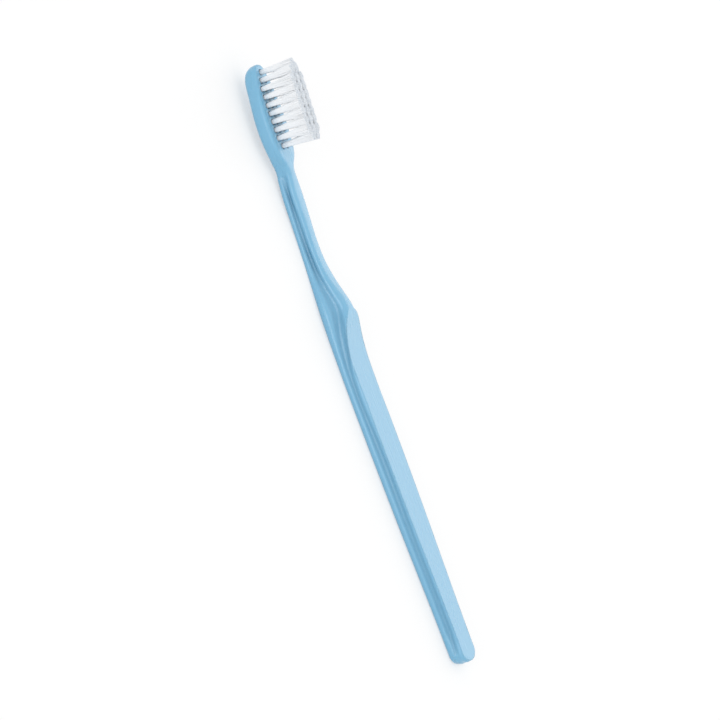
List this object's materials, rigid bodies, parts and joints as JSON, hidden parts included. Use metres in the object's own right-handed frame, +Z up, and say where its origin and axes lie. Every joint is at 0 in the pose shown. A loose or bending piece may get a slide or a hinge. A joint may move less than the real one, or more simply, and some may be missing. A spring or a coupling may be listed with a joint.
{
  "type": "manual toothbrush",
  "caption": "Manual toothbrush with a one-piece moulded handle, fluted sides, a thumb stop, an oval head leaning slightly forward, and stapled bristle tufts trimmed level.",
  "frame": {"origin": "under the middle of the brush, on the surface that its flat back lies on", "axes": "X along the brush from the head (-X) to the tail (+X), Y across it, Z up, the way the bristles point"},
  "size_m": [0.1815, 0.0126, 0.0183],
  "materials": {
    "handle": "satin moulded",
    "bristle": "translucent white filament",
    "anchor": "bright flat wire"
  },
  "bodies": {
    "root": {"anchor_row01_middle": "anchor", "anchor_row02_far": "anchor", "anchor_row02_near": "anchor", "anchor_row03_far": "anchor", "anchor_row03_middle": "anchor", "anchor_row03_near": "anchor", "anchor_row04_far": "anchor", "anchor_row04_middle": "anchor", "anchor_row04_near": "anchor", "anchor_row05_far": "anchor", "anchor_row05_middle": "anchor", "anchor_row05_near": "anchor", "anchor_row06_far": "anchor", "anchor_row06_middle": "anchor", "anchor_row06_near": "anchor", "anchor_row07_far": "anchor", "anchor_row07_middle": "anchor", "anchor_row07_near": "anchor", "anchor_row08_far": "anchor", "anchor_row08_middle": "anchor", "anchor_row08_near": "anchor", "anchor_row09_far": "anchor", "anchor_row09_middle": "anchor", "anchor_row09_near": "anchor", "anchor_row10_far": "anchor", "anchor_row10_near": "anchor", "handle": "handle", "tuft_row01_middle": "bristle", "tuft_row02_far": "bristle", "tuft_row02_near": "bristle", "tuft_row03_far": "bristle", "tuft_row03_middle": "bristle", "tuft_row03_near": "bristle", "tuft_row04_far": "bristle", "tuft_row04_middle": "bristle", "tuft_row04_near": "bristle", "tuft_row05_far": "bristle", "tuft_row05_middle": "bristle", "tuft_row05_near": "bristle", "tuft_row06_far": "bristle", "tuft_row06_middle": "bristle", "tuft_row06_near": "bristle", "tuft_row07_far": "bristle", "tuft_row07_middle": "bristle", "tuft_row07_near": "bristle", "tuft_row08_far": "bristle", "tuft_row08_middle": "bristle", "tuft_row08_near": "bristle", "tuft_row09_far": "bristle", "tuft_row09_middle": "bristle", "tuft_row09_near": "bristle", "tuft_row10_far": "bristle", "tuft_row10_near": "bristle"}
  },
  "joints": []
}
